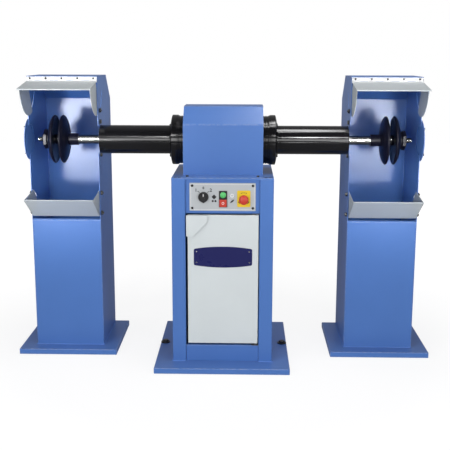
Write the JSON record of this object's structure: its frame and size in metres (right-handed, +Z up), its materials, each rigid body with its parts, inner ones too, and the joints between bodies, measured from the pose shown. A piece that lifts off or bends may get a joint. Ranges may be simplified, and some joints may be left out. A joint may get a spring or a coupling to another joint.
{
  "type": "pedestal buffing machine",
  "caption": "Floor-standing pedestal buffing machine: a long spindle driven from the middle, a hooded dust pedestal at each end, hinged visors and scoops, control panel and door.",
  "frame": {"origin": "on the floor, in the middle of the machine's length and depth", "axes": "+X along the spindle to the operator's right, +Y to the back, +Z up"},
  "size_m": [1.84, 0.65, 1.2386],
  "materials": {
    "blue_enamel": "gloss enamel",
    "black_enamel": "gloss enamel",
    "white_enamel": "satin enamel",
    "visor_grey": "satin grey coating",
    "panel_grey": "satin grey panel",
    "bright_steel": "ground bright steel",
    "plain_steel": "zinc plated steel",
    "core_steel": "laminated core steel",
    "black_plastic": "moulded",
    "red_plastic": "moulded",
    "green_plastic": "moulded",
    "yellow_plastic": "moulded"
  },
  "bodies": {
    "machine": {"button_bezel": "black_plastic", "cabinet_back_panel": "blue_enamel", "cabinet_kick_rail": "blue_enamel", "cabinet_top_plate": "blue_enamel", "cable_gland": "black_plastic", "centre_base_plate": "blue_enamel", "control_panel": "panel_grey", "control_surround": "blue_enamel", "electrical_plate": "panel_grey", "estop_plate": "yellow_plastic", "head_cover": "blue_enamel", "head_front_flange": "blue_enamel", "left_cabinet_side": "blue_enamel", "left_end_cover": "blue_enamel", "left_end_shield": "black_enamel", "left_hood_inner_wall": "blue_enamel", "left_hood_outer_wall": "blue_enamel", "left_hood_shell": "blue_enamel", "left_motor_bearing": "bright_steel", "left_pedestal_base_plate": "blue_enamel", "left_pedestal_front_panel": "blue_enamel", "left_spindle_tube": "black_enamel", "left_tube_bearing": "bright_steel", "left_visor_hinge": "white_enamel", "lower_door_pivot": "plain_steel", "motor_contactor": "black_plastic", "motor_frame": "black_enamel", "right_cabinet_side": "blue_enamel", "right_end_cover": "blue_enamel", "right_end_shield": "black_enamel", "right_hood_inner_wall": "blue_enamel", "right_hood_outer_wall": "blue_enamel", "right_hood_shell": "blue_enamel", "right_motor_bearing": "bright_steel", "right_pedestal_base_plate": "blue_enamel", "right_pedestal_front_panel": "blue_enamel", "right_spindle_tube": "black_enamel", "right_tube_bearing": "bright_steel", "right_visor_hinge": "white_enamel", "stator_core": "core_steel", "upper_door_pivot": "plain_steel"},
    "spindle": {"main_spindle": "bright_steel", "rotor_core": "core_steel", "left_inner_flange": "black_enamel", "left_outer_flange": "black_enamel", "left_clamp_nut": "black_enamel", "right_inner_flange": "black_enamel", "right_outer_flange": "black_enamel", "right_clamp_nut": "black_enamel"},
    "left_visor": {"left_visor": "visor_grey"},
    "right_visor": {"right_visor": "visor_grey"},
    "left_scoop": {"left_scoop": "visor_grey"},
    "right_scoop": {"right_scoop": "visor_grey"},
    "door": {"front_door": "white_enamel", "door_pull": "white_enamel"},
    "selector": {"selector_knob": "black_plastic"},
    "start_button": {"start_button": "green_plastic"},
    "stop_button": {"stop_button": "red_plastic"},
    "estop_stem": {"estop_stem": "black_plastic"},
    "estop_head": {"estop_mushroom": "red_plastic"}
  },
  "joints": [
    {"name": "spindle_spin", "type": "hinge", "parent": "machine", "child": "spindle", "pos_m": [0, -0.013, 0.965], "axis": [1, 0, 0], "continuous": true},
    {"name": "left_visor_hinge", "type": "hinge", "parent": "machine", "child": "left_visor", "pos_m": [-0.7, -0.038, 1.215], "axis": [1, 0, 0], "range_deg": [0, 50]},
    {"name": "left_scoop_pivot", "type": "hinge", "parent": "machine", "child": "left_scoop", "pos_m": [-0.7, -0.011, 0.636], "axis": [1, 0, 0], "range_deg": [-45, 0]},
    {"name": "right_visor_hinge", "type": "hinge", "parent": "machine", "child": "right_visor", "pos_m": [0.7, -0.038, 1.215], "axis": [1, 0, 0], "range_deg": [0, 50]},
    {"name": "right_scoop_pivot", "type": "hinge", "parent": "machine", "child": "right_scoop", "pos_m": [0.7, -0.011, 0.636], "axis": [1, 0, 0], "range_deg": [-45, 0]},
    {"name": "door_hinge", "type": "hinge", "parent": "machine", "child": "door", "pos_m": [0.14, -0.226, 0.39], "axis": [0, 0, 1], "range_deg": [0, 110]},
    {"name": "selector_turn", "type": "hinge", "parent": "machine", "child": "selector", "pos_m": [-0.08, -0.24, 0.747], "axis": [0, 1, 0], "range_deg": [-45, 45]},
    {"name": "start_press", "type": "slide", "parent": "machine", "child": "start_button", "axis": [0, 1, 0], "range_m": [0, 0.004], "stiffness_N_per_m": 400},
    {"name": "stop_press", "type": "slide", "parent": "machine", "child": "stop_button", "axis": [0, 1, 0], "range_m": [0, 0.004], "stiffness_N_per_m": 400},
    {"name": "estop_press", "type": "slide", "parent": "machine", "child": "estop_stem", "axis": [0, 1, 0], "range_m": [0, 0.006], "stiffness_N_per_m": 600},
    {"name": "estop_twist", "type": "hinge", "parent": "estop_stem", "child": "estop_head", "pos_m": [0.089, -0.25, 0.737], "axis": [0, 1, 0], "range_deg": [0, 30], "stiffness_Nm_per_rad": 0.05}
  ]
}
